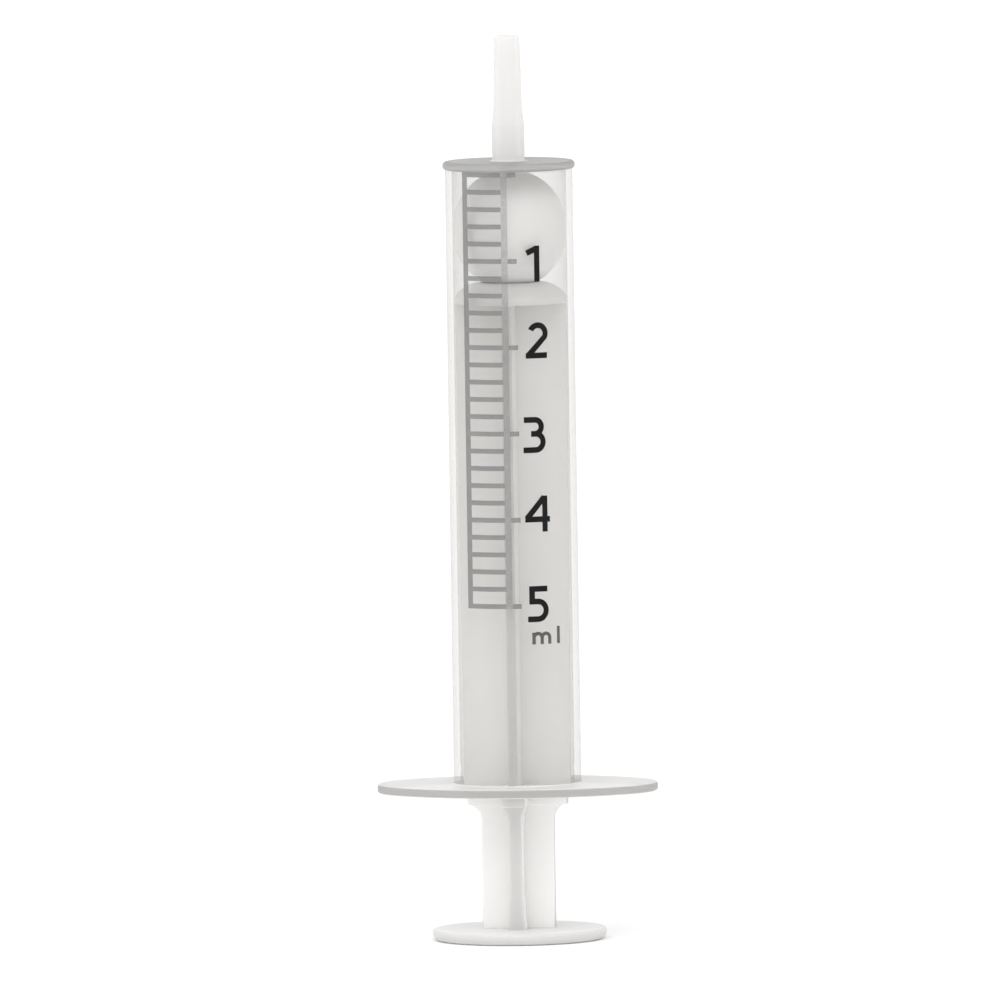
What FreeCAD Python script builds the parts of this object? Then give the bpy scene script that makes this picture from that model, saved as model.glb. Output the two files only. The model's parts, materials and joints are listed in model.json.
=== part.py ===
import FreeCAD, Part
import math
import os
import Sketcher

# Oral syringe, 5 ml: barrel, plunger rod, plunger seal and the scale printed on the barrel.
# It stands on its thumb rest with the nozzle up. Lengths are in millimetres, angles in degrees.
# +Z runs up the bore, +X along the long way of the finger flange, and -Y is the printed side.

os.makedirs("parts", exist_ok=True)
doc = FreeCAD.newDocument("oral_syringe")

DRIVING_DIMENSIONS = [
    ("capacity_ml", 5.0, "volume between the first and the last line"),
    ("volume_step_ml", 0.2, "volume between two lines"),
    ("bore_dia", 11.9, "bore of the barrel"),
    ("barrel_wall", 0.7, "wall of the barrel"),
    ("end_wall", 0.9, "thickness of the barrel's closed end"),
    ("rim_overhang", 0.25, "how far the rim at the closed end stands out from the barrel"),
    ("rim_thickness", 0.8, "thickness of that rim"),
    ("barrel_inside_length", 65.0, "from the open end to the inner face of the closed end"),
    ("nozzle_length", 13.1, "from the closed end's outer face to the nozzle's tip"),
    ("nozzle_root_length", 3.7, "length of the nozzle's thicker root"),
    ("nozzle_step_length", 1.7, "length of the slope above the root"),
    ("nozzle_root_dia", 3.4, "diameter of the root"),
    ("nozzle_body_dia", 3.0, "diameter above the slope"),
    ("nozzle_tip_dia", 2.7, "diameter at the tip"),
    ("nozzle_bore_dia", 1.6, "bore of the nozzle"),
    ("nozzle_tip_round", 0.5, "rounding of the nozzle's tip"),
    ("flange_half_length", 14.65, "half the finger flange's length"),
    ("flange_half_width", 10.0, "half the finger flange's width"),
    ("flange_end_radius", 7.0, "radius of the flange's two ends"),
    ("flange_thickness", 1.0, "thickness of the finger flange"),
    ("flange_edge_round", 0.35, "rounding of the flange's edges"),
    ("mould_fillet", 0.25, "fillet where two walls of a moulding meet"),
    ("bead_height", 0.07, "how far the stop bead stands in from the bore"),
    ("bead_length", 1.2, "length of the stop bead along the bore"),
    ("bead_setback", 2.5, "from the open end to the middle of the stop bead"),
    ("mouth_chamfer", 0.25, "chamfer at the mouth of the bore"),
    ("seal_ball_dia", 12.4, "the seal's ball before the bore squeezes it"),
    ("seal_gap", 0.02, "radial gap between the seal and the bore"),
    ("seal_end_gap", 0.03, "gap between the seal and the closed end at rest"),
    ("waist_dia", 6.6, "diameter where the seal sits on the rod"),
    ("neck_dia", 3.2, "neck of the rod's nose"),
    ("neck_length", 1.6, "length of that neck"),
    ("nose_dia", 5.2, "mushroom head of the rod's nose"),
    ("nose_rim_length", 0.8, "straight rim of the mushroom head"),
    ("nose_dome_height", 1.3, "height of the mushroom head's dome"),
    ("nose_gap", 0.05, "gap all round the rod's nose inside the seal"),
    ("seat_gap", 0.02, "gap between the seal and the waist that it sits on"),
    ("shoulder_dia", 11.7, "shoulder of the rod under the seal"),
    ("shoulder_dome_height", 1.55, "height of the shoulder's dome"),
    ("shoulder_edge", 0.6, "straight edge of the shoulder"),
    ("waist_drop", 5.5, "from the ball's centre down to the waist"),
    ("shaft_fin_thickness", 1.05, "fins of the shaft inside the barrel"),
    ("shaft_foot_width", 11.1, "width of the shaft where it meets the guide disc"),
    ("guide_dia", 11.3, "guide disc at the mouth of the barrel"),
    ("guide_thickness", 1.0, "thickness of the guide disc"),
    ("guide_below_mouth", 0.2, "how far the guide disc hangs out of the barrel"),
    ("grip_length", 14.0, "from the thumb rest up to the guide disc"),
    ("grip_width", 7.66, "width of the grip across two fins"),
    ("grip_fin_thickness", 1.35, "fins of the grip at their thinnest"),
    ("grip_collar_length", 1.05, "straight part between the fins' flare and the guide disc"),
    ("grip_flare_height", 1.6, "height of the flare below that"),
    ("grip_edge_rise", 1.45, "how far the fins' outer edges flare outwards"),
    ("grip_side_rise", 0.55, "how far each side of a fin swells there"),
    ("grip_foot_height", 5.0, "height of the slight swelling above the thumb rest"),
    ("grip_foot_rise", 0.28, "how far each side of a fin swells at the thumb rest"),
    ("thumb_dia", 18.12, "thumb rest"),
    ("thumb_thickness", 1.2, "thickness of the thumb rest"),
    ("thumb_top_round", 0.3, "rounding of the thumb rest's upper edge"),
    ("thumb_low_round", 0.75, "rounding of its lower edge"),
    ("ring_count", 3, "grip rings under the thumb rest"),
    ("ring_first_dia", 8.0, "inner diameter of the first grip ring"),
    ("ring_spacing", 1.3, "radial distance between two grip rings"),
    ("ring_width", 0.5, "width of a grip ring"),
    ("ring_depth", 0.15, "depth of a grip ring"),
    ("ink_thickness", 0.04, "thickness of the print"),
    ("zero_line_drop", 0.2, "from the chamber's closed end down to the zero line"),
    ("line_width", 0.5, "width of a printed line"),
    ("rail_width", 0.65, "width of the scale's two upright rails"),
    ("left_rail_angle", -38.8, "left rail of the scale, measured round from the front"),
    ("right_rail_angle", 0.0, "right rail of the scale"),
    ("long_line_angle", 11.0, "end of the long lines"),
    ("numeral_angle", 27.0, "middle of the numerals"),
    ("numeral_height", 3.75, "height of a numeral"),
    ("numeral_stroke", 0.6, "stroke of a numeral"),
    ("numeral_1_drop", 0.3, "how far the 1's middle sits under its line"),
    ("numeral_2_drop", -0.7, "the same for the 2"),
    ("numeral_3_drop", 0.15, "the same for the 3"),
    ("numeral_4_drop", -0.6, "the same for the 4"),
    ("numeral_5_drop", -0.2, "the same for the 5"),
    ("letter_height", 1.8, "height of the letter l"),
    ("letter_stroke", 0.36, "stroke of the letters"),
    ("letter_drop", 4.0, "from the last line down to the foot of the letters"),
    ("letter_m_angle", 29.5, "middle of the letter m"),
    ("letter_l_angle", 47.0, "middle of the letter l"),
]


def write_dimension_sheet():
    """Put the driving dimensions in a sheet: name, value and what each one is."""
    new_sheet = doc.addObject("Spreadsheet::Sheet", "dims")
    for row, (alias, value, meaning) in enumerate(DRIVING_DIMENSIONS, start=1):
        new_sheet.set(f"A{row}", alias)
        new_sheet.set(f"B{row}", str(value))
        new_sheet.set(f"C{row}", meaning)
        new_sheet.setAlias(f"B{row}", alias)
    doc.recompute()
    return new_sheet


sheet = write_dimension_sheet()

# Formulas that more than one sub-part uses.
BORE_R = "(dims.bore_dia / 2)"
BARREL_R = f"({BORE_R} + dims.barrel_wall)"
THUMB_TOP = "dims.thumb_thickness"
GUIDE_LOW = f"({THUMB_TOP} + dims.grip_length)"
GUIDE_TOP = f"({GUIDE_LOW} + dims.guide_thickness)"
MOUTH = f"({GUIDE_LOW} + dims.guide_below_mouth)"
FLANGE_TOP = f"({MOUTH} + dims.flange_thickness)"
CHAMBER_END = f"({MOUTH} + dims.barrel_inside_length)"
BARREL_TOP = f"({CHAMBER_END} + dims.end_wall)"
NOZZLE_TIP = f"({BARREL_TOP} + dims.nozzle_length)"
BALL_R = "(dims.seal_ball_dia / 2)"
BALL_CENTRE = f"({CHAMBER_END} - dims.seal_end_gap - {BALL_R})"
WAIST = f"({BALL_CENTRE} - dims.waist_drop)"
SHOULDER_LOW = f"({WAIST} - dims.shoulder_dome_height - dims.shoulder_edge)"
STROKE = f"(dims.capacity_ml * 1000 / (pi * {BORE_R} ^ 2))"
LINE_SPACING = f"({STROKE} * dims.volume_step_ml / dims.capacity_ml)"
LINE_COUNT = "(dims.capacity_ml / dims.volume_step_ml + 1)"
NUMBER_SPACING = f"({STROKE} / dims.capacity_ml)"
ZERO_LINE = f"({CHAMBER_END} - dims.zero_line_drop)"


def size(formula):
    """Return the number that a formula gives with the sheet's present values."""
    return float(sheet.evalExpression(str(formula)))


def bind(thing, path, formula):
    """Drive one property of an object by a formula of the sheet's cells."""
    thing.setExpression(path, str(formula))


def origin_feature(body, role):
    """Return the body's own plane or axis with this role."""
    return next(feature for feature in body.Origin.OriginFeatures if feature.Role == role)


def new_body(name):
    """Start a body whose label is the sub-part's name."""
    body = doc.addObject("PartDesign::Body", name)
    body.Label = name
    return body


def new_sketch(body, plane_role, name):
    """Start a sketch on one of the body's origin planes."""
    sketch = body.newObject("Sketcher::SketchObject", name)
    sketch.AttachmentSupport = (origin_feature(body, plane_role), [""])
    sketch.MapMode = "FlatFace"
    return sketch


def arc_between(start, end, radius, turn):
    """Return the short arc from start to end; turn is +1 to bend left and -1 to bend right."""
    half_chord = (end - start) / 2
    rise = math.sqrt(max(radius ** 2 - half_chord.Length ** 2, 0.0))
    left = FreeCAD.Vector(-half_chord.y, half_chord.x, 0).normalize()
    centre = start + half_chord + left * rise * turn
    from_point, to_point = (start, end) if turn > 0 else (end, start)
    from_angle = math.atan2(from_point.y - centre.y, from_point.x - centre.x)
    to_angle = math.atan2(to_point.y - centre.y, to_point.x - centre.x)
    circle = Part.Circle(centre, FreeCAD.Vector(0, 0, 1), radius)
    return Part.ArcOfCircle(circle, from_angle, to_angle)


def pin_corner(sketch, edge, end, across, up):
    """Fix one corner of an outline at two formulas, measured from the sketch's origin."""
    origin_point = (-1, 1)
    for kind, axis, formula in (("DistanceX", -2, across), ("DistanceY", -1, up)):
        value = size(formula)
        if abs(value) < 1e-9:
            sketch.addConstraint(Sketcher.Constraint("PointOnObject", edge, end, axis))
            continue
        number = sketch.addConstraint(Sketcher.Constraint(kind, *origin_point, edge, end, value))
        bind(sketch, f"Constraints[{number}]", formula)


def draw_outline(sketch, corners):
    """Draw a closed outline. A corner is (across, up) or (across, up, radius, turn).

    The last two make the edge that leaves the corner an arc.
    """
    points = [FreeCAD.Vector(size(corner[0]), size(corner[1]), 0) for corner in corners]
    ends = []
    for number, corner in enumerate(corners):
        start = points[number]
        end = points[(number + 1) % len(points)]
        if len(corner) == 2:
            edge = sketch.addGeometry(Part.LineSegment(start, end))
            ends.append((edge, 1, 2))
            continue
        radius, turn = corner[2], corner[3]
        edge = sketch.addGeometry(arc_between(start, end, size(radius), turn))
        ends.append((edge, 1, 2) if turn > 0 else (edge, 2, 1))
        constraint = sketch.addConstraint(Sketcher.Constraint("Radius", edge, size(radius)))
        bind(sketch, f"Constraints[{constraint}]", radius)
    for number, (edge, first_end, last_end) in enumerate(ends):
        next_edge, next_first_end, _ = ends[(number + 1) % len(ends)]
        joined = Sketcher.Constraint("Coincident", edge, last_end, next_edge, next_first_end)
        sketch.addConstraint(joined)
        pin_corner(sketch, edge, first_end, corners[number][0], corners[number][1])


def mirrored(right_half):
    """Return a whole outline from the corners of its right half, listed from the bottom up."""
    left_half = []
    for number in range(len(right_half) - 1, -1, -1):
        across, up = right_half[number][:2]
        arc_below = right_half[number - 1][2:] if number > 0 else ()
        left_half.append((f"-({across})", up, *arc_below))
    return list(right_half) + left_half


def turned(body, name, corners, cut=False, plane_role="XZ_Plane"):
    """Revolve an outline drawn on an upright plane a full turn about the bore's axis."""
    sketch = new_sketch(body, plane_role, name + "_outline")
    draw_outline(sketch, corners)
    feature = body.newObject("PartDesign::Groove" if cut else "PartDesign::Revolution", name)
    feature.Profile = sketch
    feature.ReferenceAxis = (sketch, ["V_Axis"])
    feature.Angle = 360
    doc.recompute()
    return feature


def padded_through(body, name, corners, thickness):
    """Pad an outline drawn on the XZ plane to both sides of that plane."""
    sketch = new_sketch(body, "XZ_Plane", name + "_outline")
    draw_outline(sketch, corners)
    pad = body.newObject("PartDesign::Pad", name)
    pad.Profile = sketch
    pad.SideType = "Symmetric"
    bind(pad, "Length", thickness)
    doc.recompute()
    return pad


def crossed(body, name, pads):
    """Repeat pads a quarter turn round the bore's axis, which makes a cross of them."""
    pattern = body.newObject("PartDesign::PolarPattern", name)
    pattern.Originals = pads
    pattern.Axis = (origin_feature(body, "Z_Axis"), [""])
    pattern.Angle = 90
    pattern.Occurrences = 2
    body.Tip = pattern
    doc.recompute()
    return pattern


def rise_radius(height, rise):
    """Return the radius of an arc that leaves a line tangentially and rises over a height."""
    return f"((({height}) ^ 2 + ({rise}) ^ 2) / (2 * ({rise})))"


def barrel_outside(body):
    """Tube, rim, closed end and nozzle, turned as one solid."""
    fillet = "dims.mould_fillet"
    rim_r = f"({BARREL_R} + dims.rim_overhang)"
    rim_round = "(dims.rim_thickness / 2)"
    rim_low = f"({BARREL_TOP} - dims.rim_thickness)"
    root_r = "(dims.nozzle_root_dia / 2)"
    root_top = f"({BARREL_TOP} + dims.nozzle_root_length)"
    tip_r = "(dims.nozzle_tip_dia / 2)"
    tip_round = "dims.nozzle_tip_round"
    turned(body, "tube_and_nozzle", [
        (0, MOUTH),
        (f"{BARREL_R} + {fillet}", MOUTH),
        (f"{BARREL_R} + {fillet}", FLANGE_TOP, fillet, -1),
        (BARREL_R, f"{FLANGE_TOP} + {fillet}"),
        (BARREL_R, rim_low, "dims.rim_overhang", 1),
        (rim_r, f"{rim_low} + dims.rim_overhang"),
        (rim_r, f"{BARREL_TOP} - {rim_round}", rim_round, 1),
        (f"{rim_r} - {rim_round}", BARREL_TOP),
        (f"{root_r} + {fillet}", BARREL_TOP, fillet, -1),
        (root_r, f"{BARREL_TOP} + {fillet}"),
        (root_r, root_top),
        ("dims.nozzle_body_dia / 2", f"{root_top} + dims.nozzle_step_length"),
        (tip_r, f"{NOZZLE_TIP} - {tip_round}", tip_round, 1),
        (f"{tip_r} - {tip_round}", NOZZLE_TIP),
        (0, NOZZLE_TIP),
    ])


def finger_flange(body):
    """Oval finger flange: two wide arcs and two end arcs that meet without a corner."""
    half_length, half_width = "dims.flange_half_length", "dims.flange_half_width"
    end_r = "dims.flange_end_radius"
    end_centre = f"({half_length} - {end_r})"
    side_r = f"(({end_centre} ^ 2 + {half_width} ^ 2 - {end_r} ^ 2) / (2 * ({half_width} - {end_r})))"
    side_centre = f"({side_r} - {half_width})"
    meet_across = f"({side_r} * {end_centre} / ({side_r} - {end_r}))"
    meet_up = f"({side_r} * {side_centre} / ({side_r} - {end_r}) - {side_centre})"
    sketch = new_sketch(body, "XY_Plane", "flange_outline")
    draw_outline(sketch, [
        (meet_across, f"-{meet_up}", end_r, 1),
        (meet_across, meet_up, side_r, 1),
        (f"-{meet_across}", meet_up, end_r, 1),
        (f"-{meet_across}", f"-{meet_up}", side_r, 1),
    ])
    bind(sketch, "AttachmentOffset.Base.z", MOUTH)
    pad = body.newObject("PartDesign::Pad", "flange")
    pad.Profile = sketch
    bind(pad, "Length", "dims.flange_thickness")
    doc.recompute()
    outer_edges = [
        f"Edge{number}"
        for number, edge in enumerate(pad.Shape.Edges, start=1)
        if is_flat_at(edge, MOUTH) or is_flat_at(edge, FLANGE_TOP)
    ]
    rounding = body.newObject("PartDesign::Fillet", "flange_edges")
    rounding.Base = (pad, outer_edges)
    bind(rounding, "Radius", "dims.flange_edge_round")
    doc.recompute()


def is_flat_at(edge, level):
    """Tell whether an edge of the oval lies level at this height; circles about the bore don't count."""
    box = edge.BoundBox
    if box.ZLength > 1e-6 or abs(box.ZMin - size(level)) > 1e-6:
        return False
    return math.hypot(edge.Curve.Center.x, edge.Curve.Center.y) > 1e-6


def barrel_inside(body):
    """Chamfered mouth, stop bead, bore, closed end and the nozzle's bore, cut as one space."""
    chamfer = "dims.mouth_chamfer"
    fillet = "dims.mould_fillet"
    bead_middle = f"({MOUTH} + dims.bead_setback)"
    bead_half = "(dims.bead_length / 2)"
    nozzle_bore_r = "(dims.nozzle_bore_dia / 2)"
    turned(body, "bore_and_bead", [
        (0, MOUTH),
        (f"{BORE_R} + {chamfer}", MOUTH),
        (BORE_R, f"{MOUTH} + {chamfer}"),
        (BORE_R, f"{bead_middle} - {bead_half}", rise_radius(bead_half, "dims.bead_height"), -1),
        (BORE_R, f"{bead_middle} + {bead_half}"),
        (BORE_R, f"{CHAMBER_END} - {fillet}", fillet, 1),
        (f"{BORE_R} - {fillet}", CHAMBER_END),
        (nozzle_bore_r, CHAMBER_END),
        (nozzle_bore_r, NOZZLE_TIP),
        (0, NOZZLE_TIP),
    ], cut=True)


def make_barrel():
    """Barrel: one translucent moulding."""
    body = new_body("barrel")
    barrel_outside(body)
    finger_flange(body)
    barrel_inside(body)
    return body


def thumb_rest(body):
    """Round thumb rest with shallow grip rings underneath."""
    edge_r = "(dims.thumb_dia / 2)"
    low_round, top_round = "dims.thumb_low_round", "dims.thumb_top_round"
    corners = [(0, 0)]
    for ring in range(int(size("dims.ring_count"))):
        ring_inner = f"(dims.ring_first_dia / 2 + {ring} * dims.ring_spacing)"
        ring_outer = f"({ring_inner} + dims.ring_width)"
        corners += [
            (ring_inner, 0),
            (ring_inner, "dims.ring_depth"),
            (ring_outer, "dims.ring_depth"),
            (ring_outer, 0),
        ]
    corners += [
        (f"{edge_r} - {low_round}", 0, low_round, 1),
        (edge_r, low_round),
        (edge_r, f"{THUMB_TOP} - {top_round}", top_round, 1),
        (f"{edge_r} - {top_round}", THUMB_TOP),
        (0, THUMB_TOP),
    ]
    turned(body, "thumb_rest", corners)


def grip(body):
    """Cross-shaped grip: fins that swell at both ends, trimmed to a width that flares at the top."""
    half_width = "(dims.grip_width / 2)"
    half_fin = "(dims.grip_fin_thickness / 2)"
    flare_height, foot_height = "dims.grip_flare_height", "dims.grip_foot_height"
    edge_rise, side_rise, foot_rise = "dims.grip_edge_rise", "dims.grip_side_rise", "dims.grip_foot_rise"
    flare_top = f"({GUIDE_LOW} - dims.grip_collar_length)"
    flare_low = f"({flare_top} - {flare_height})"
    edge_view = mirrored([
        (f"{half_fin} + {foot_rise}", THUMB_TOP, rise_radius(foot_height, foot_rise), -1),
        (half_fin, f"{THUMB_TOP} + {foot_height}"),
        (half_fin, flare_low, rise_radius(flare_height, side_rise), -1),
        (f"{half_fin} + {side_rise}", flare_top),
        (f"{half_fin} + {side_rise}", GUIDE_LOW),
    ])
    fin = padded_through(body, "grip_fin", edge_view, "dims.guide_dia")
    crossed(body, "grip_cross", [fin])
    clear_of_fins = "dims.guide_dia"
    turned(body, "grip_edges", [
        (half_width, THUMB_TOP),
        (clear_of_fins, THUMB_TOP),
        (clear_of_fins, GUIDE_LOW),
        (f"{half_width} + {edge_rise}", GUIDE_LOW),
        (f"{half_width} + {edge_rise}", flare_top, rise_radius(flare_height, edge_rise), 1),
        (half_width, flare_low),
    ], cut=True)


def guide_disc(body):
    """Disc that keeps the rod straight at the barrel's mouth."""
    edge_r = "(dims.guide_dia / 2)"
    turned(body, "guide_disc", [(0, GUIDE_LOW), (edge_r, GUIDE_LOW), (edge_r, GUIDE_TOP), (0, GUIDE_TOP)])


def shaft(body):
    """Cross-shaped shaft, slightly wider at the top, where the fins' corners meet the shoulder's edge."""
    half_foot = "(dims.shaft_foot_width / 2)"
    half_top = "sqrt((dims.shoulder_dia / 2) ^ 2 - (dims.shaft_fin_thickness / 2) ^ 2)"
    outline = mirrored([(half_foot, GUIDE_TOP), (half_top, SHOULDER_LOW)])
    fin = padded_through(body, "shaft_fin", outline, "dims.shaft_fin_thickness")
    crossed(body, "shaft_cross", [fin])


def shoulder_and_nose(body):
    """Domed shoulder, waist, neck and mushroom head that hold the seal."""
    shoulder_r = "(dims.shoulder_dia / 2)"
    waist_r = "(dims.waist_dia / 2)"
    neck_r = "(dims.neck_dia / 2)"
    nose_r = "(dims.nose_dia / 2)"
    shoulder_top = f"({SHOULDER_LOW} + dims.shoulder_edge)"
    nose_low = f"({WAIST} + dims.neck_length)"
    nose_rim = f"({nose_low} + dims.nose_rim_length)"
    turned(body, "shoulder_and_nose", [
        (0, SHOULDER_LOW),
        (shoulder_r, SHOULDER_LOW),
        (shoulder_r, shoulder_top, shoulder_dome_radius(), 1),
        (waist_r, WAIST),
        (neck_r, WAIST),
        (neck_r, nose_low),
        (nose_r, nose_low),
        (nose_r, nose_rim, rise_radius(nose_r, "dims.nose_dome_height"), 1),
        (0, f"{nose_rim} + dims.nose_dome_height"),
    ])


def shoulder_dome_radius():
    """Radius of the arc from the shoulder's edge to the waist, a little more than their spread."""
    spread = "((dims.shoulder_dia - dims.waist_dia) / 2)"
    return f"(1.15 * sqrt({spread} ^ 2 + dims.shoulder_dome_height ^ 2))"


def make_plunger_rod():
    """Plunger rod: one moulding from the thumb rest to the nose inside the seal."""
    body = new_body("plunger_rod")
    thumb_rest(body)
    grip(body)
    guide_disc(body)
    shaft(body)
    shoulder_and_nose(body)
    return body


def make_plunger_seal():
    """Seal: a ball that the bore squeezes narrower than it is long, hollow for the rod's nose."""
    body = new_body("plunger_seal")
    gap = "dims.nose_gap"
    contact_r = f"({BORE_R} - dims.seal_gap)"
    contact_half = f"({BALL_R} - {contact_r})"
    seat = f"({WAIST} + dims.seat_gap)"
    seat_r = f"sqrt({contact_r} ^ 2 - ({BALL_CENTRE} - {contact_half} - {seat}) ^ 2)"
    neck_r = f"(dims.neck_dia / 2 + {gap})"
    nose_r = f"(dims.nose_dia / 2 + {gap})"
    nose_low = f"({WAIST} + dims.neck_length - {gap})"
    nose_rim = f"({WAIST} + dims.neck_length + dims.nose_rim_length)"
    dome_height = f"(dims.nose_dome_height + {gap})"
    turned(body, "ball", [
        (neck_r, seat),
        (seat_r, seat, contact_r, 1),
        (contact_r, f"{BALL_CENTRE} - {contact_half}"),
        (contact_r, f"{BALL_CENTRE} + {contact_half}", contact_r, 1),
        (0, f"{BALL_CENTRE} + {BALL_R}"),
        (0, f"{nose_rim} + {dome_height}", rise_radius(nose_r, dome_height), -1),
        (nose_r, nose_rim),
        (nose_r, nose_low),
        (neck_r, nose_low),
    ])
    return body


def ring_sector(body, name, centre_angle, sweep, low, high):
    """Lay a patch of ink on the barrel: a thin band about the axis between two heights."""
    sketch = new_sketch(body, "XZ_Plane", name + "_section")
    outer = f"({BARREL_R} + dims.ink_thickness)"
    draw_outline(sketch, [(BARREL_R, low), (outer, low), (outer, high), (BARREL_R, high)])
    sketch.AttachmentOffset = FreeCAD.Placement(
        FreeCAD.Vector(0, 0, 0), FreeCAD.Rotation(FreeCAD.Vector(0, 1, 0), size(centre_angle) - 90)
    )
    bind(sketch, "AttachmentOffset.Rotation.Angle", f"{centre_angle} - 90")
    band = body.newObject("PartDesign::Revolution", name)
    band.Profile = sketch
    band.ReferenceAxis = (sketch, ["V_Axis"])
    band.Midplane = True
    bind(band, "Angle", sweep)
    doc.recompute()
    return band


def repeated_down(body, name, line, count, spacing):
    """Repeat a line down the barrel."""
    pattern = body.newObject("PartDesign::LinearPattern", name)
    pattern.Originals = [line]
    pattern.Direction = (origin_feature(body, "Z_Axis"), [""])
    pattern.Reversed = True
    bind(pattern, "Occurrences", count)
    bind(pattern, "Length", f"({count} - 1) * {spacing}")
    body.Tip = pattern
    doc.recompute()


def make_scale_lines():
    """Printed ladder: two rails, a line every step and a longer line every millilitre."""
    body = new_body("scale_lines")
    half_line = "(dims.line_width / 2)"
    rail_sweep = f"(dims.rail_width / {BARREL_R} * 180 / pi)"
    left, right, far = "dims.left_rail_angle", "dims.right_rail_angle", "dims.long_line_angle"
    last_line = f"({ZERO_LINE} - {STROKE})"
    line_low, line_high = f"({ZERO_LINE} - {half_line})", f"({ZERO_LINE} + {half_line})"
    rail_low, rail_high = f"({last_line} - {half_line})", line_high
    ring_sector(body, "left_rail", left, rail_sweep, rail_low, rail_high)
    short_line = ring_sector(
        body, "short_line", f"(({left} + {right}) / 2)", f"({right} - {left})", line_low, line_high
    )
    repeated_down(body, "short_lines", short_line, LINE_COUNT, LINE_SPACING)
    ring_sector(body, "right_rail", right, rail_sweep, rail_low, rail_high)
    long_line = ring_sector(
        body, "long_line", f"(({right} + {far}) / 2)", f"({far} - {right})", line_low, line_high
    )
    repeated_down(body, "long_lines", long_line, "(dims.capacity_ml + 1)", NUMBER_SPACING)
    return body


# Strokes of the printed marks, in parts of the mark's height, drawn about its foot's middle.
# A bar is (x, y) to (x, y); a bend is a centre, a radius, a start angle and a sweep.
TOP, FOOT = 0.92, 0.08
MARK_STROKES = {
    "numeral_1": [("bar", 0.08, 0.0, 0.08, 1.0), ("bar", 0.08, 0.93, -0.22, 0.80)],
    "numeral_2": [
        ("bend", 0.08, 0.69, 0.23, -35, 190),
        ("bar", 0.26, 0.57, -0.18, 0.12),
        ("bar", -0.28, FOOT, 0.36, FOOT),
    ],
    "numeral_3": [
        ("bend", -0.05, 0.725, 0.195, -90, 180),
        ("bend", -0.03, 0.305, 0.225, -90, 180),
        ("bar", -0.36, TOP, -0.04, TOP),
        ("bar", -0.16, 0.53, -0.02, 0.53),
        ("bar", -0.38, FOOT, -0.02, FOOT),
    ],
    "numeral_4": [
        ("bar", 0.20, 0.97, -0.31, 0.38),
        ("bar", -0.36, 0.35, 0.38, 0.35),
        ("bar", 0.22, 0.0, 0.22, 1.0),
    ],
    "numeral_5": [
        ("bar", -0.28, TOP, 0.26, TOP),
        ("bar", -0.20, TOP, -0.20, 0.50),
        ("bar", -0.26, 0.57, -0.02, 0.57),
        ("bend", -0.03, 0.325, 0.245, -90, 180),
        ("bar", -0.32, FOOT, -0.02, FOOT),
    ],
    "letter_m": [
        ("bar", -0.5, 0.0, -0.5, 0.68),
        ("bar", 0.0, 0.0, 0.0, 0.4),
        ("bar", 0.5, 0.0, 0.5, 0.4),
        ("bend", -0.25, 0.37, 0.25, 0, 180),
        ("bend", 0.25, 0.37, 0.25, 0, 180),
    ],
    "letter_l": [("bar", 0.0, 0.0, 0.0, 1.0)],
}


def bar_stroke(name, height, stroke, from_x, from_y, to_x, to_y):
    """Straight stroke with square ends, as a long box that stands on the mark's plane."""
    run, rise = to_x - from_x, to_y - from_y
    length = math.hypot(run, rise)
    bar = doc.addObject("Part::Box", name)
    bind(bar, "Length", f"{length} * {height}")
    bind(bar, "Width", stroke)
    bind(bar, "Height", f"2 * {BARREL_R}")
    bar.Placement.Rotation = FreeCAD.Rotation(FreeCAD.Vector(0, 0, 1), math.degrees(math.atan2(rise, run)))
    bind(bar, "Placement.Base.x", f"{from_x} * {height} + {rise / length / 2} * {stroke}")
    bind(bar, "Placement.Base.y", f"{from_y} * {height} - {run / length / 2} * {stroke}")
    return bar


def bend_stroke(name, height, stroke, centre_x, centre_y, radius, start, sweep):
    """Curved stroke: a sector of a disc with the inside of the bend cut away."""
    discs = []
    for suffix, side, angle in (("_outer", "+", sweep), ("_inner", "-", 360)):
        disc = doc.addObject("Part::Cylinder", name + suffix)
        bind(disc, "Radius", f"{radius} * {height} {side} {stroke} / 2")
        bind(disc, "Height", f"2 * {BARREL_R}")
        disc.Angle = angle
        disc.Placement.Rotation = FreeCAD.Rotation(FreeCAD.Vector(0, 0, 1), start)
        bind(disc, "Placement.Base.x", f"{centre_x} * {height}")
        bind(disc, "Placement.Base.y", f"{centre_y} * {height}")
        discs.append(disc)
    bend = doc.addObject("Part::Cut", name)
    bend.Base, bend.Tool = discs
    return bend


def ink_sleeve():
    """Thin sleeve that fits round the barrel; every mark is cut out of it."""
    tubes = []
    for name, radius in (("sleeve_outer", f"{BARREL_R} + dims.ink_thickness"), ("sleeve_inner", BARREL_R)):
        tube = doc.addObject("Part::Cylinder", name)
        bind(tube, "Radius", radius)
        bind(tube, "Height", CHAMBER_END)
        tubes.append(tube)
    sleeve = doc.addObject("Part::Cut", "ink_sleeve")
    sleeve.Base, sleeve.Tool = tubes
    return sleeve


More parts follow.
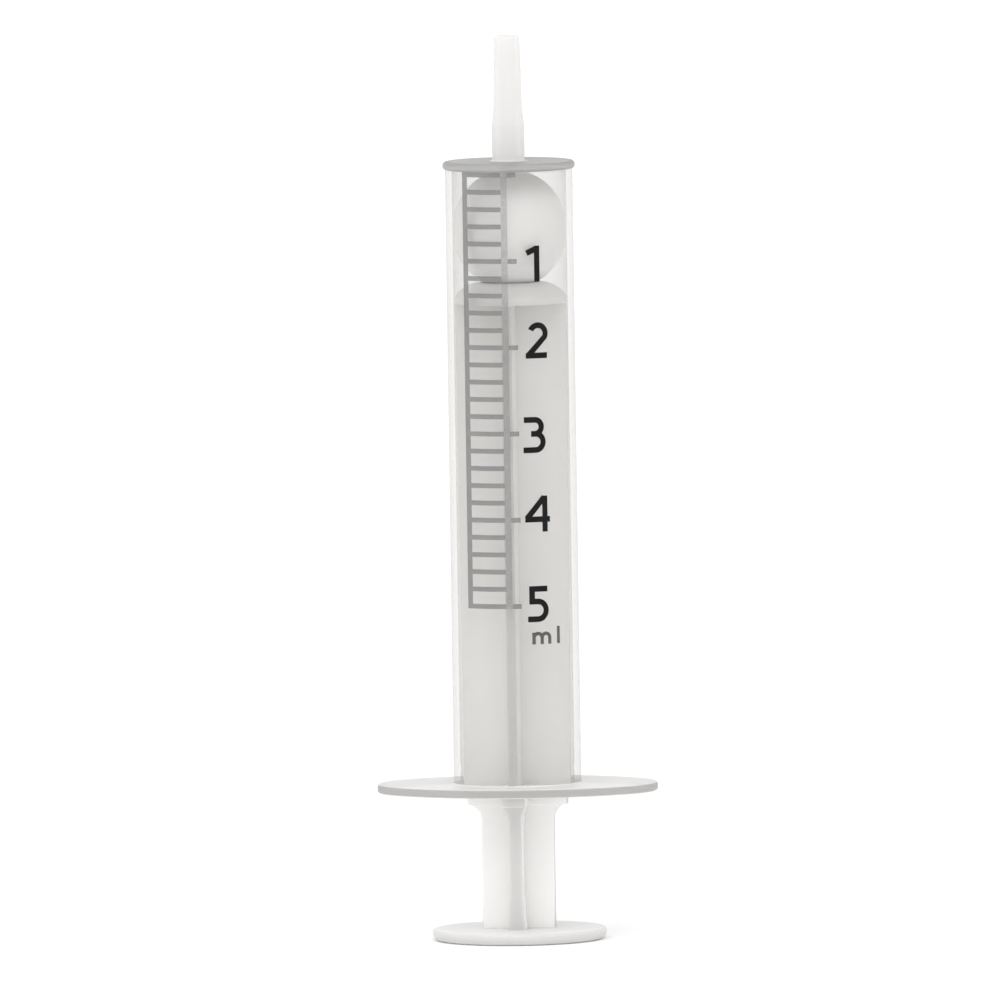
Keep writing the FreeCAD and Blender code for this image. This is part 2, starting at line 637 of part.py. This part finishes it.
def make_mark(name, sleeve, height, stroke, angle, foot):
    """Printed mark: its strokes, stood up facing out of the barrel, where they meet the sleeve."""
    strokes = []
    for number, (kind, *shape) in enumerate(MARK_STROKES[name], start=1):
        make_stroke = bar_stroke if kind == "bar" else bend_stroke
        strokes.append(make_stroke(f"{name}_stroke_{number}", height, stroke, *shape))
    if len(strokes) > 1:
        drawing = doc.addObject("Part::MultiFuse", name + "_drawing")
        drawing.Shapes = strokes
    else:
        drawing = doc.addObject("Part::Compound", name + "_drawing")
        drawing.Links = strokes
    stand_up = FreeCAD.Rotation(FreeCAD.Vector(1, 0, 0), 90)
    turn_round = FreeCAD.Rotation(FreeCAD.Vector(0, 0, 1), size(angle))
    drawing.Placement.Rotation = turn_round.multiply(stand_up)
    bind(drawing, "Placement.Base.z", foot)
    mark = doc.addObject("Part::MultiCommon", name)
    mark.Shapes = [drawing, sleeve]
    mark.Label = name
    return mark


def make_numerals(sleeve):
    """One numeral beside every millilitre's line."""
    numerals = []
    for number in range(1, int(size("dims.capacity_ml")) + 1):
        line = f"({ZERO_LINE} - {number} * {NUMBER_SPACING})"
        foot = f"{line} - dims.numeral_height / 2 - dims.numeral_{number}_drop"
        numerals.append(make_mark(
            f"numeral_{number}", sleeve, "dims.numeral_height", "dims.numeral_stroke",
            "dims.numeral_angle", foot,
        ))
    return numerals


def make_letters(sleeve):
    """Unit mark under the last numeral."""
    foot = f"{ZERO_LINE} - {STROKE} - dims.letter_drop"
    return [
        make_mark(f"letter_{letter}", sleeve, "dims.letter_height", "dims.letter_stroke",
                  f"dims.letter_{letter}_angle", foot)
        for letter in ("m", "l")
    ]


def check_and_export(subparts):
    """Stop on any failed object or bad shape, then write one file per sub-part."""
    doc.recompute()
    failed = [thing.Name for thing in doc.Objects if {"Invalid", "Error"} & set(thing.State)]
    if failed:
        raise RuntimeError(f"these objects failed: {failed}")
    for subpart in subparts:
        shape = subpart.Shape
        if shape.isNull() or not shape.isValid():
            raise RuntimeError(f"{subpart.Label} has no valid shape")
        if len(shape.Solids) != 1:
            raise RuntimeError(f"{subpart.Label} has {len(shape.Solids)} solids")
        shape.exportStep(f"parts/{subpart.Label}.step")
        box = shape.BoundBox
        print(
            f"{subpart.Label:14} volume {shape.Volume:9.3f}"
            f"  x {box.XMin:7.2f} {box.XMax:7.2f}  y {box.YMin:7.2f} {box.YMax:7.2f}"
            f"  z {box.ZMin:7.2f} {box.ZMax:7.2f}"
        )


barrel = make_barrel()
plunger_rod = make_plunger_rod()
plunger_seal = make_plunger_seal()
scale_lines = make_scale_lines()
sleeve_of_ink = ink_sleeve()
marks = make_numerals(sleeve_of_ink) + make_letters(sleeve_of_ink)
check_and_export([barrel, plunger_rod, plunger_seal, scale_lines] + marks)
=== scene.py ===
import json
import math

import bpy
from mathutils import Matrix, Vector


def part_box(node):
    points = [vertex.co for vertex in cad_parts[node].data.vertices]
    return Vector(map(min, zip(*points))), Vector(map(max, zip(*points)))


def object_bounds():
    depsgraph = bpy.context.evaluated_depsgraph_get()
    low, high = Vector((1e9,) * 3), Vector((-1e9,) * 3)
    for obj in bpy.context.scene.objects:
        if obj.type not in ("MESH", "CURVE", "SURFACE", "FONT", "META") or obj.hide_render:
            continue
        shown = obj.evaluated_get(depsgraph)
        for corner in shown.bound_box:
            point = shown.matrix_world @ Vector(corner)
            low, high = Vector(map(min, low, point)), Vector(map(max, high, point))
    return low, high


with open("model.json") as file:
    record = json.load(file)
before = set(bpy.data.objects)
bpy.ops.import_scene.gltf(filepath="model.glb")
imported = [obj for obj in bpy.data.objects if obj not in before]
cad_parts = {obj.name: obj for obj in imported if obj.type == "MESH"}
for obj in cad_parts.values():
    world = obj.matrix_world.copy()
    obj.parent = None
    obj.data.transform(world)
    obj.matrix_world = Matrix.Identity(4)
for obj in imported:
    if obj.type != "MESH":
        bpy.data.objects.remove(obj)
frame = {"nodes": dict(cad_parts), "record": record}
cad_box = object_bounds()


def top_beyond(node, radius):
    """Height of a node's highest point that is further than radius from the bore's axis."""
    return max(vertex.co.z for vertex in frame["nodes"][node].data.vertices if vertex.co.xy.length > radius)


# All sizes and heights are in metres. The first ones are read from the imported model.
MOUNTS = {mount["name"]: mount for mount in frame["record"]["mounts"]}
TUBE = MOUNTS["barrel_outside"]
TUBE_RADIUS = TUBE["dims"]["r_mm"] / 1000
TUBE_TOP = TUBE["pos_m"][2] + TUBE["dims"]["length_mm"] / 2000
FLANGE_TOP = MOUNTS["finger_face"]["pos_m"][2]
FLANGE_LOW = MOUNTS["mouth_face"]["pos_m"][2]
BARREL_END = top_beyond("barrel", TUBE_RADIUS / 2)
THUMB_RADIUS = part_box("plunger_rod")[1].x
THUMB_TOP = top_beyond("plunger_rod", 0.9 * THUMB_RADIUS)
SEAL_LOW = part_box("plunger_seal")[0].z
OBJECT_HEIGHT = cad_box[1].z - cad_box[0].z

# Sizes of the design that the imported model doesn't list.
BARREL_WALL = 0.0007
MOULD_FILLET = 0.00025
NOZZLE_ROOT_RADIUS = 0.0017
SHOULDER_DEPTH = 0.00217
BORE_RADIUS = TUBE_RADIUS - BARREL_WALL
SHOULDER_LOW = SEAL_LOW - SHOULDER_DEPTH

# Sizes of the looks alone: how far from the axis a fin's outer edge begins, half the width of the right
# rail's own tone, how softly one tone turns into the next, and how far the floor is below the thumb rest.
FIN_CORE = 0.003
RAIL_HALF_WIDTH = 0.0003
BLUR = 0.0001
FLOOR_GAP = 0.00002


def warm_grey(value):
    """Grey with the slight warmth of undyed plastic."""
    return (value, 0.992 * value, 0.981 * value, 1.0)


# Colours of the barrel: light that goes straight through, light thrown back, and light let through softly.
CLEAR_WALL = (0.932, 0.931, 0.929, 1.0)
SLANTED_CLEAR_WALL = warm_grey(0.9)
MILKY_WALL = warm_grey(0.78)
THICK_PART = warm_grey(0.93)
# Painted shade: the flange's upright rim, the closed end and the closed end's level top get darker greys,
# both in the light thrown back and in the light let through.
FLANGE_RIM_PAINTED_SHADE = warm_grey(0.36)
CLOSED_END_PAINTED_SHADE = warm_grey(0.46)
CLOSED_END_LEVEL_PAINTED_SHADE = warm_grey(0.3)
SOFT_LIGHT = warm_grey(0.93)
SOFT_LIGHT_PAINTED_SHADE = warm_grey(0.7)

# Colours of the rod, the seal, the clouds in both and the floor.
ROD = warm_grey(0.85)
# Painted shade: a darker grey for the fins' outer edges, the shoulder and the thumb rest.
ROD_PAINTED_SHADE = warm_grey(0.595)
SEAL = warm_grey(0.92)
SEAL_CLOUDS = warm_grey(0.89)
PLASTIC_CLOUDS = warm_grey(0.3)
PAPER = (0.92, 0.92, 0.92, 1.0)


class Nodes:
    """A material's node tree, with short ways to add a node and to join its sockets."""

    def __init__(self, name):
        self.material = bpy.data.materials.new(name)
        self.material.use_nodes = True
        self.tree = self.material.node_tree
        self.tree.nodes.clear()
        self.output = self.add("ShaderNodeOutputMaterial")

    def add(self, kind, inputs=None, **settings):
        node = self.tree.nodes.new(kind)
        for key, value in settings.items():
            setattr(node, key, value)
        for key, value in (inputs or {}).items():
            self.feed(node.inputs[key], value)
        return node

    def feed(self, socket, value):
        if isinstance(value, bpy.types.NodeSocket):
            self.tree.links.new(value, socket)
        else:
            socket.default_value = value

    def finish(self, shader):
        self.feed(self.output.inputs["Surface"], shader)
        return self.material

    # Arithmetic.

    def math(self, operation, first, second=0.0):
        return self.add("ShaderNodeMath", {0: first, 1: second}, operation=operation).outputs[0]

    def plus(self, first, second):
        return self.math("ADD", first, second)

    def minus(self, first, second):
        return self.math("SUBTRACT", first, second)

    def times(self, first, second):
        return self.math("MULTIPLY", first, second)

    def largest(self, first, *others):
        for other in others:
            first = self.math("MAXIMUM", first, other)
        return first

    def step(self, value, start, end):
        """0 before start, 1 past end and smooth in between; start may be the higher of the two."""
        node = self.add(
            "ShaderNodeMapRange",
            {"Value": value, "From Min": min(start, end), "From Max": max(start, end)},
            interpolation_type="SMOOTHSTEP",
        )
        smooth = node.outputs["Result"]
        return smooth if start < end else self.minus(1.0, smooth)

    def between(self, value, low, high):
        """1 where the value is between low and high, and softly down to 0 just outside them."""
        return self.times(self.step(value, low - BLUR, low), self.step(value, high + BLUR, high))

    def blend_colours(self, factor, first, second):
        """The first colour where the factor is 0, and the second where it is 1."""
        node = self.add("ShaderNodeMix", data_type="RGBA")
        self.feed(node.inputs["Factor"], factor)
        self.feed(node.inputs[6], first)
        self.feed(node.inputs[7], second)
        return node.outputs[2]

    def mix_shaders(self, factor, first, second):
        return self.add("ShaderNodeMixShader", {0: factor, 1: first, 2: second}).outputs[0]

    # Places and directions, all in the object's own frame.

    def place(self):
        """Height above the base, distance from the axis, and x, as three sockets."""
        where = self.add("ShaderNodeTexCoord").outputs["Object"]
        x, y, z = self.add("ShaderNodeSeparateXYZ", {0: where}).outputs
        radius = self.math("SQRT", self.plus(self.times(x, x), self.times(y, y)))
        return z, radius, x

    def level(self):
        """1 where the surface is level, facing up or down, and 0 where it is upright."""
        normal = self.add("ShaderNodeTexCoord").outputs["Normal"]
        upward = self.add("ShaderNodeSeparateXYZ", {0: normal}).outputs["Z"]
        return self.math("ABSOLUTE", upward)

    def outward(self):
        """How far the surface faces away from the axis, whatever its slope up or down."""
        where = self.add("ShaderNodeTexCoord")
        level = {}
        for name in ("Object", "Normal"):
            flat = self.add(
                "ShaderNodeVectorMath", {0: where.outputs[name], 1: (1, 1, 0)}, operation="MULTIPLY"
            ).outputs[0]
            level[name] = self.add("ShaderNodeVectorMath", {0: flat}, operation="NORMALIZE").outputs[0]
        both = {0: level["Object"], 1: level["Normal"]}
        return self.add("ShaderNodeVectorMath", both, operation="DOT_PRODUCT").outputs["Value"]

    # Surface details.

    def noise(self, scale, stretch=(1.0, 1.0, 1.0), detail=3.0, roughness=0.5):
        """Noise laid in the object's own metres; scale is its number of cells per metre."""
        place = self.add("ShaderNodeTexCoord").outputs["Object"]
        mapped = self.add("ShaderNodeMapping", {"Vector": place, "Scale": stretch}).outputs[0]
        inputs = {"Vector": mapped, "Scale": scale, "Detail": detail, "Roughness": roughness}
        return self.add("ShaderNodeTexNoise", inputs).outputs["Fac"]

    def bump(self, height, distance, normal=None):
        """A surface raised by up to distance metres, on top of another bump's normal if one is given."""
        node = self.add("ShaderNodeBump", {"Height": height, "Distance": distance})
        if normal is not None:
            self.feed(node.inputs["Normal"], normal)
        return node.outputs["Normal"]

    def grazing(self, normal, power):
        """0 where the skin is seen straight on, up to 1 at a grazing angle."""
        slant = self.add("ShaderNodeLayerWeight", {"Blend": 0.5, "Normal": normal}).outputs["Facing"]
        return self.math("POWER", slant, power)


def moulded_surface(nodes, grain_height=0.000004, wave_height=0.00002):
    """Skin of an injection moulding: slow sink waves with a fine even grain on them."""
    waves = nodes.noise(180.0, stretch=(1.0, 1.0, 0.25), detail=1.0)
    grain = nodes.noise(9000.0, detail=2.0, roughness=0.6)
    return nodes.bump(grain, grain_height, normal=nodes.bump(waves, wave_height))


def hairline_scratches(nodes):
    """Faint rubs along the tube: long thin noise of which only the peaks count, and only in patches."""
    streaks = nodes.noise(5200.0, stretch=(1.0, 1.0, 0.012), detail=2.0, roughness=0.7)
    patches = nodes.noise(210.0, detail=2.0)
    peaks = nodes.step(streaks, 0.64, 0.72)
    rubbed = nodes.step(patches, 0.45, 0.62)
    return nodes.times(peaks, rubbed)


def flange_masks(nodes, height, radius):
    """Masks for the finger flange, with the tube's mouth in it, and for the upright faces of its outer rim,
    where painted shade goes.
    """
    beyond_bore = nodes.step(radius, BORE_RADIUS + BLUR, BORE_RADIUS + 2 * BLUR)
    mouth = nodes.times(nodes.between(height, FLANGE_LOW, FLANGE_TOP), beyond_bore)
    beside_tube = nodes.step(radius, TUBE_RADIUS, TUBE_RADIUS + BLUR)
    under_fillet = nodes.step(height, FLANGE_TOP + MOULD_FILLET + BLUR, FLANGE_TOP + MOULD_FILLET)
    flange = nodes.largest(mouth, nodes.times(beside_tube, under_fillet))
    past_fillet = nodes.step(radius, TUBE_RADIUS + MOULD_FILLET, TUBE_RADIUS + 2 * MOULD_FILLET)
    upright = nodes.step(nodes.level(), 0.9, 0.5)
    return flange, nodes.times(nodes.times(flange, past_fillet), upright)


def top_masks(nodes, height, radius):
    """Masks for the nozzle, with the fillet round its root, and for the tube's closed end."""
    above_fillet = nodes.step(height, BARREL_END + MOULD_FILLET - BLUR, BARREL_END + MOULD_FILLET)
    above_end = nodes.step(height, BARREL_END - BLUR, BARREL_END)
    root_foot = NOZZLE_ROOT_RADIUS + MOULD_FILLET
    root_fillet = nodes.times(above_end, nodes.step(radius, root_foot + BLUR, root_foot))
    nozzle = nodes.largest(above_fillet, root_fillet)
    closed_end = nodes.times(nodes.step(height, TUBE_TOP, TUBE_TOP + BLUR), nodes.minus(1.0, nozzle))
    return nozzle, closed_end


def barrel_milkiness(nodes, thick_part, painted_shade_parts, slanted, scratches):
    """How much of the light the barrel scatters; the rest goes straight through."""
    clouds = nodes.noise(260.0, stretch=(1.0, 1.0, 0.4), detail=2.0)
    cloudy = nodes.times(clouds, 0.03)
    slanting = nodes.times(slanted, 0.35)
    scratched = nodes.times(scratches, 0.05)
    thin_wall = nodes.plus(nodes.plus(cloudy, slanting), scratched)
    return nodes.largest(thin_wall, nodes.times(thick_part, 0.7), nodes.times(painted_shade_parts, 0.9))


def barrel_shine(nodes, body, skin, scratches):
    """Lay a clear gloss over the barrel, stronger at a grazing angle and rougher on the scratches."""
    roughness = nodes.plus(0.12, nodes.times(scratches, 0.25))
    gloss = nodes.add("ShaderNodeBsdfGlossy", {"Roughness": roughness, "Normal": skin}).outputs[0]
    straight_on = 0.014
    added_at_grazing = nodes.times(nodes.grazing(skin, 5.0), 0.386)
    return nodes.mix_shaders(nodes.plus(straight_on, added_at_grazing), body, gloss)


def translucent_barrel():
    """Polypropylene: thin walls let most light through, thick parts scatter more of it, and painted shade
    greys the flange's upright rim and the closed end.
    """
    nodes = Nodes("translucent_polypropylene")
    height, radius, _ = nodes.place()
    flange, flange_rim = flange_masks(nodes, height, radius)
    nozzle, closed_end = top_masks(nodes, height, radius)
    thick_part = nodes.largest(flange, nozzle)
    # The parts that carry painted shade: the flange's upright rim and the closed end.
    painted_shade_parts = nodes.largest(flange_rim, closed_end)
    scratches = hairline_scratches(nodes)
    skin = moulded_surface(nodes)
    slanted = nodes.grazing(skin, 2.0)

    straight = nodes.blend_colours(slanted, CLEAR_WALL, SLANTED_CLEAR_WALL)
    clear = nodes.add("ShaderNodeBsdfTransparent", {"Color": straight}).outputs[0]
    back = nodes.blend_colours(thick_part, MILKY_WALL, THICK_PART)
    # Painted shade: darker greys on the flange's upright rim and on the closed end, darkest on its level
    # top.
    back = nodes.blend_colours(flange_rim, back, FLANGE_RIM_PAINTED_SHADE)
    back = nodes.blend_colours(closed_end, back, CLOSED_END_PAINTED_SHADE)
    back = nodes.blend_colours(nodes.times(closed_end, nodes.level()), back, CLOSED_END_LEVEL_PAINTED_SHADE)
    thrown_back = nodes.add("ShaderNodeBsdfDiffuse", {"Color": back, "Normal": skin}).outputs[0]
    # Painted shade: the light let through is darker on the flange's rim and the closed end as well.
    through = nodes.blend_colours(painted_shade_parts, SOFT_LIGHT, SOFT_LIGHT_PAINTED_SHADE)
    let_through = nodes.add("ShaderNodeBsdfTranslucent", {"Color": through, "Normal": skin}).outputs[0]
    share_let_through = 0.4
    milky = nodes.mix_shaders(share_let_through, thrown_back, let_through)
    milkiness = barrel_milkiness(nodes, thick_part, painted_shade_parts, slanted, scratches)
    body = nodes.mix_shaders(milkiness, clear, milky)
    return nodes.finish(barrel_shine(nodes, body, skin, scratches))


def satin_plastic(nodes, colour, roughness, grain_height):
    """Opaque satin moulding with a little light spreading under its skin."""
    clouds = nodes.noise(320.0, detail=2.0)
    cloud_strength = 0.04
    cloudy = nodes.blend_colours(cloud_strength, colour, PLASTIC_CLOUDS)
    shader = nodes.add(
        "ShaderNodeBsdfPrincipled",
        {
            "Base Color": nodes.blend_colours(clouds, colour, cloudy),
            "Roughness": nodes.plus(roughness, nodes.times(clouds, 0.08)),
            "IOR": 1.45,
            "Specular IOR Level": 0.35,
            "Subsurface Weight": 0.6,
            "Subsurface Radius": (0.0016, 0.0016, 0.0015),
            "Subsurface Scale": 1.0,
            "Normal": moulded_surface(nodes, grain_height),
        },
    ).outputs[0]
    return nodes.finish(shader)


def rod_plastic():
    """White polyethylene, with painted shade: the fins' outer edges, the shoulder and the thumb rest are
    painted a darker grey.
    """
    nodes = Nodes("white_polyethylene")
    height, radius, _ = nodes.place()
    above_thumb_rest = nodes.step(height, THUMB_TOP, THUMB_TOP + BLUR)
    shoulder = nodes.step(height, SHOULDER_LOW - BLUR, SHOULDER_LOW)
    along_fins = nodes.minus(above_thumb_rest, shoulder)
    edge_face = nodes.step(nodes.outward(), 0.8, 0.9)
    away_from_core = nodes.step(radius, FIN_CORE, FIN_CORE + 4 * BLUR)
    fin_edge = nodes.times(nodes.times(edge_face, away_from_core), along_fins)
    thumb_rest = nodes.minus(1.0, above_thumb_rest)
    thumb_rim = nodes.step(radius, THUMB_RADIUS - 4 * BLUR, THUMB_RADIUS - BLUR)
    # Painted shade: darkest on the fins' outer edges, almost as dark on the thumb rest's rim, and lighter
    # on the rest of the thumb rest and on the shoulder.
    painted_shade = nodes.largest(
        fin_edge,
        nodes.times(shoulder, 0.4),
        nodes.times(thumb_rest, 0.45),
        nodes.times(thumb_rim, 0.9),
    )
    colour = nodes.blend_colours(painted_shade, ROD, ROD_PAINTED_SHADE)
    return satin_plastic(nodes, colour, roughness=0.38, grain_height=0.000004)


def seal_elastomer():
    """Pale rubber of the seal, a little duller than the rod."""
    nodes = Nodes("seal_elastomer")
    clouds = nodes.noise(700.0, detail=1.0)
    colour = nodes.blend_colours(clouds, SEAL, SEAL_CLOUDS)
    return satin_plastic(nodes, colour, roughness=0.45, grain_height=0.000006)


def printed_ink(name, grey, coverage, rail_coverage):
    """Screen-printed ink, dry and thin in places; rail_coverage is for the scale's right rail, at x = 0."""
    nodes = Nodes(name)
    specks = nodes.noise(6500.0, roughness=0.65)
    patches = nodes.noise(700.0, detail=2.0)
    _, _, x = nodes.place()
    right_rail = nodes.between(x, -RAIL_HALF_WIDTH, RAIL_HALF_WIDTH)
    cover = nodes.plus(coverage, nodes.times(right_rail, rail_coverage - coverage))
    thin_spots = nodes.step(specks, 0.42, 0.3)
    lost = nodes.times(thin_spots, 0.35)
    shown = nodes.largest(nodes.minus(cover, lost), 0.0)

    worn_grey = 1.6 * grey + 0.02
    fresh = (grey, grey, grey, 1.0)
    worn = (worn_grey, worn_grey, worn_grey, 1.0)
    wear = nodes.times(patches, 0.25)
    ink_grain_height = 0.000006
    ink = nodes.add(
        "ShaderNodeBsdfPrincipled",
        {
            "Base Color": nodes.blend_colours(wear, fresh, worn),
            "Roughness": 0.55,
            "Specular IOR Level": 0.1,
            "Normal": nodes.bump(specks, ink_grain_height),
        },
    ).outputs[0]
    clear = nodes.add("ShaderNodeBsdfTransparent").outputs[0]
    return nodes.finish(nodes.mix_shaders(shown, clear, ink))


def give(material, *names):
    """Put one material on CAD nodes."""
    for name in names:
        mesh = frame["nodes"][name].data
        mesh.materials.clear()
        mesh.materials.append(material)


def dress_the_nodes():
    """Give every node its material."""
    scale_ink = printed_ink("scale_ink", grey=0.24, coverage=0.66, rail_coverage=0.22)
    numeral_ink = printed_ink("numeral_ink", grey=0.006, coverage=1.0, rail_coverage=1.0)
    unit_ink = printed_ink("unit_ink", grey=0.09, coverage=0.8, rail_coverage=0.8)
    give(translucent_barrel(), "barrel")
    give(rod_plastic(), "plunger_rod")
    give(seal_elastomer(), "plunger_seal")
    give(scale_ink, "scale_lines")
    give(numeral_ink, "numeral_1", "numeral_2", "numeral_3", "numeral_4", "numeral_5")
    give(unit_ink, "letter_m", "letter_l")


def white_paper():
    """Matt paper with a fine fibre and a faint glow of its own."""
    nodes = Nodes("white_paper")
    fibre_height = 0.00002
    fibre = nodes.bump(nodes.noise(900.0), fibre_height)
    paper = nodes.add("ShaderNodeBsdfDiffuse", {"Color": PAPER, "Normal": fibre}).outputs[0]
    glow = nodes.add("ShaderNodeEmission", {"Strength": 0.04}).outputs[0]
    return nodes.finish(nodes.add("ShaderNodeAddShader", {0: paper, 1: glow}).outputs[0])


def studio_floor():
    """Wide white floor that fills the whole background."""
    reach = 60 * OBJECT_HEIGHT
    corners = [(-reach, -reach), (reach, -reach), (reach, reach), (-reach, reach)]
    mesh = bpy.data.meshes.new("floor")
    mesh.from_pydata([(x, y, -FLOOR_GAP) for x, y in corners], [], [(0, 1, 2, 3)])
    mesh.materials.append(white_paper())
    floor = bpy.data.objects.new("floor", mesh)
    bpy.context.scene.collection.objects.link(floor)


def studio_light():
    """White surroundings and one very soft light from above, in front and to the left."""
    world = bpy.data.worlds.new("studio")
    world.use_nodes = True
    background = world.node_tree.nodes["Background"]
    background.inputs["Color"].default_value = (1.0, 1.0, 1.0, 1.0)
    background.inputs["Strength"].default_value = 1.0
    bpy.context.scene.world = world
    light = bpy.data.lights.new("soft_sky", "SUN")
    light.energy = 0.9
    light.angle = math.radians(50)
    sun = bpy.data.objects.new("soft_sky", light)
    sun.rotation_euler = (math.radians(38), 0.0, math.radians(-8))
    bpy.context.scene.collection.objects.link(sun)


def studio_camera():
    """Long lens that looks slightly down from a little to the right, rolled by just under a degree."""
    azimuth, elevation, roll = math.radians(5.0), math.radians(4.1), math.radians(0.85)
    distance = 3.5
    view_size = 0.10417
    aim_height = 0.486 * OBJECT_HEIGHT
    object_to_right = 0.0135 * view_size
    sensor_width = 36
    back = Vector((
        math.sin(azimuth) * math.cos(elevation),
        -math.cos(azimuth) * math.cos(elevation),
        math.sin(elevation),
    ))
    turn = (-back).to_track_quat("-Z", "Y").to_matrix() @ Matrix.Rotation(-roll, 3, "Z")
    right = turn @ Vector((1, 0, 0))
    target = Vector((0, 0, aim_height)) - right * object_to_right
    data = bpy.data.cameras.new("camera")
    data.sensor_width = sensor_width
    data.lens = sensor_width * distance / view_size
    data.clip_start = 0.01
    data.clip_end = 100
    camera = bpy.data.objects.new("camera", data)
    camera.matrix_world = Matrix.Translation(target + back * distance) @ turn.to_4x4()
    bpy.context.scene.collection.objects.link(camera)
    bpy.context.scene.camera = camera


dress_the_nodes()
studio_floor()
studio_light()
studio_camera()
bpy.context.scene.view_settings.view_transform = "Standard"
